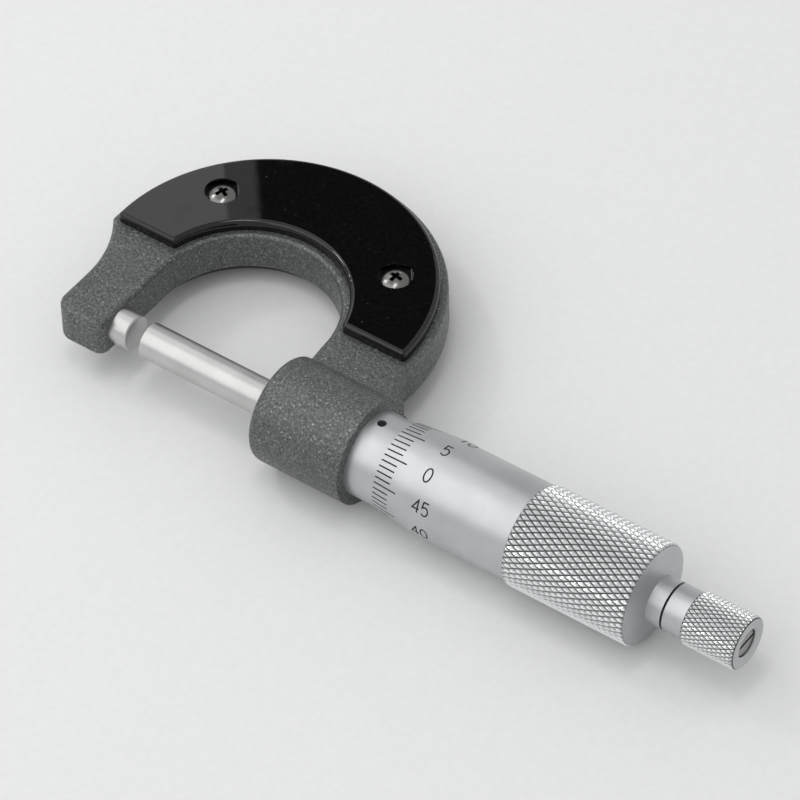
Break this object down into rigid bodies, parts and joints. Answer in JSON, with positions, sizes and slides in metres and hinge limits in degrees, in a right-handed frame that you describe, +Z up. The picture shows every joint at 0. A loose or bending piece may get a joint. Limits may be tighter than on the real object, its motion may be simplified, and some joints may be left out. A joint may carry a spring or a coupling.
{
  "type": "outside micrometer",
  "caption": "Outside micrometer with a C-shaped frame, plastic covers, graduated thimble, ratchet stop and spindle lock, lying on its front.",
  "frame": {"origin": "centre of the anvil's measuring face, on the spindle's axis", "axes": "+X along the spindle's axis from the anvil to the ratchet, +Y towards the frame's bow, +Z up with the back cover on top; the frame's plane is rolled 4.6 degrees about X, bow down, as it lies"},
  "size_m": [0.1416, 0.0594, 0.0192],
  "materials": {
    "hammered_paint": "hammered dark grey enamel with fine sparkle",
    "cover_plastic": "gloss black moulded plastic",
    "dark_screw": "blackened steel",
    "ground_steel": "fine ground and lapped",
    "satin_chrome": "satin chrome",
    "plain_steel": "turned, oiled",
    "spring_steel": "drawn wire",
    "lever_chrome": "polished chrome"
  },
  "bodies": {
    "frame": {"frame": "hammered_paint", "anvil": "ground_steel", "back_cover": "cover_plastic", "front_cover": "cover_plastic", "back_cover_screws": "dark_screw", "front_cover_screws": "dark_screw", "inner_sleeve": "plain_steel", "adjusting_nut": "plain_steel", "graduated_sleeve": "satin_chrome", "lock_bush": "plain_steel", "lock_washer": "spring_steel"},
    "spindle": {"spindle": "ground_steel"},
    "thimble": {"thimble": "satin_chrome", "ratchet_body": "satin_chrome", "ratchet_disc": "plain_steel", "ratchet_spring": "spring_steel", "ratchet_screw": "plain_steel"},
    "ratchet_knob": {"ratchet_knob": "satin_chrome"},
    "lock": {"lock_stem": "plain_steel", "lock_lever": "lever_chrome", "lock_screw": "dark_screw"},
    "lock_shoe": {"lock_shoe": "ground_steel"}
  },
  "joints": [
    {"name": "spindle_travel", "type": "slide", "parent": "frame", "child": "spindle", "axis": [1, 0, 0], "range_m": [-0.0028, 0.0222]},
    {"name": "thimble_turn", "type": "hinge", "parent": "spindle", "child": "thimble", "pos_m": [0.08, 0, 0], "axis": [1, 0, 0], "range_deg": [-2017, 15985]},
    {"name": "ratchet_turn", "type": "hinge", "parent": "thimble", "child": "ratchet_knob", "pos_m": [0.118, 0, 0], "axis": [1, 0, 0], "continuous": true},
    {"name": "lock_turn", "type": "hinge", "parent": "frame", "child": "lock", "pos_m": [0.0385, 0.01216, -0.006], "axis": [0, 0.0803, 0.9968], "range_deg": [0, 50.1]},
    {"name": "lock_press", "type": "slide", "parent": "frame", "child": "lock_shoe", "axis": [0, -0.9968, 0.0803], "range_m": [0, 0.00015]}
  ],
  "couplings": [
    {"joint": "thimble_turn", "follows": "spindle_travel", "rad_per_m": 12566},
    {"joint": "lock_turn", "follows": "lock_press", "rad_per_m": 5817.8}
  ]
}
